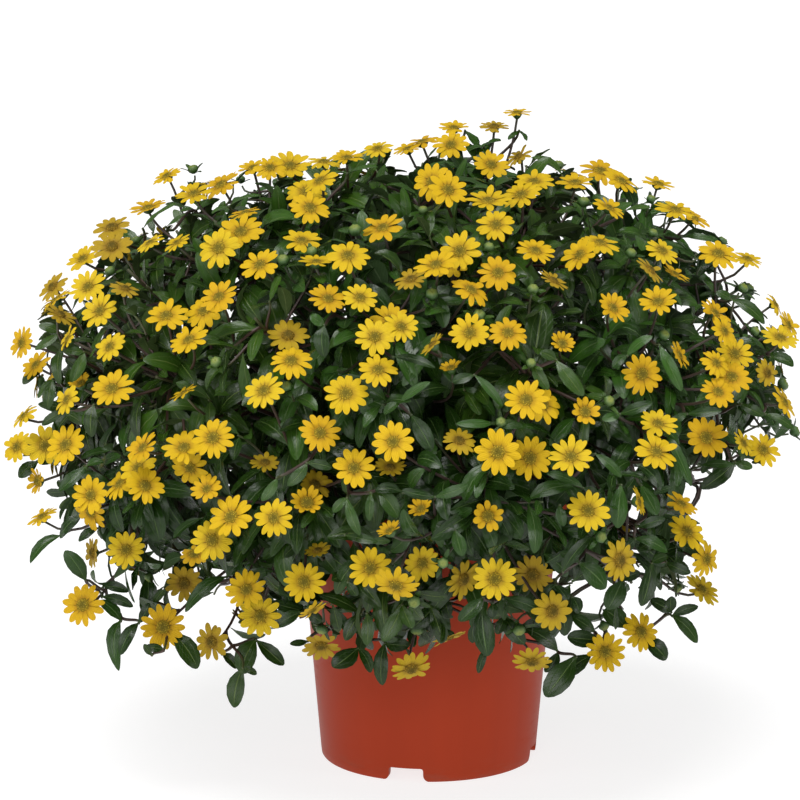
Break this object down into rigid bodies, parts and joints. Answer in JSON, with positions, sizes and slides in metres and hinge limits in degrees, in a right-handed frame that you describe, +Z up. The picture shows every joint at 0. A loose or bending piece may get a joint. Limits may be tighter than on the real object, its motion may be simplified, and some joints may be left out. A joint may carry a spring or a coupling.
{
  "type": "potted creeping zinnia",
  "caption": "Creeping zinnia in a round nursery pot: a dense dome of leafy stems covered in small yellow daisy blooms, spreading over the rim.",
  "frame": {"origin": "on the ground, under the middle of the plant's footprint; the pot's axis stands 10 mm to the right and 6 mm to the back of it", "axes": "+Z up, -Y to the front that the picture shows, +X to the right seen from the front"},
  "size_m": [0.3912, 0.3701, 0.3152],
  "materials": {
    "pot_plastic": "satin",
    "potting_soil": "matte",
    "foliage": "satin",
    "petals": "matte"
  },
  "bodies": {
    "root": {"pot": "pot_plastic", "potting_soil": "potting_soil", "leafy_shoot_01": "foliage", "leafy_shoot_02": "foliage", "leafy_shoot_03": "foliage", "leafy_shoot_04": "foliage", "leafy_shoot_05": "foliage", "leafy_shoot_06": "foliage", "leafy_shoot_07": "foliage", "leafy_shoot_08": "foliage", "leafy_shoot_09": "foliage", "leafy_shoot_10": "foliage", "leafy_shoot_11": "foliage", "leafy_shoot_12": "foliage", "leafy_shoot_13": "foliage", "leafy_shoot_14": "foliage", "leafy_shoot_15": "foliage", "leafy_shoot_16": "foliage", "leafy_shoot_17": "foliage", "leafy_shoot_18": "foliage", "leafy_shoot_19": "foliage", "leafy_shoot_20": "foliage", "leafy_shoot_21": "foliage", "leafy_shoot_22": "foliage", "leafy_shoot_23": "foliage", "leafy_shoot_24": "foliage", "leafy_shoot_25": "foliage", "leafy_shoot_26": "foliage", "leafy_shoot_27": "foliage", "leafy_shoot_28": "foliage", "flower_spray_01": "petals", "flower_spray_02": "petals", "flower_spray_03": "petals", "flower_spray_04": "petals", "flower_spray_05": "petals", "flower_spray_06": "petals", "flower_spray_07": "petals", "flower_spray_08": "petals", "flower_spray_09": "petals", "flower_spray_10": "petals", "flower_spray_11": "petals", "flower_spray_12": "petals", "flower_spray_13": "petals", "flower_spray_14": "petals", "flower_spray_15": "petals", "flower_spray_16": "petals", "flower_spray_17": "petals", "flower_spray_18": "petals", "flower_spray_19": "petals", "flower_spray_20": "petals", "flower_spray_21": "petals", "flower_spray_22": "petals", "flower_spray_23": "petals", "flower_spray_24": "petals", "flower_spray_25": "petals", "flower_spray_26": "petals", "flower_spray_27": "petals", "flower_spray_28": "petals"}
  },
  "joints": []
}
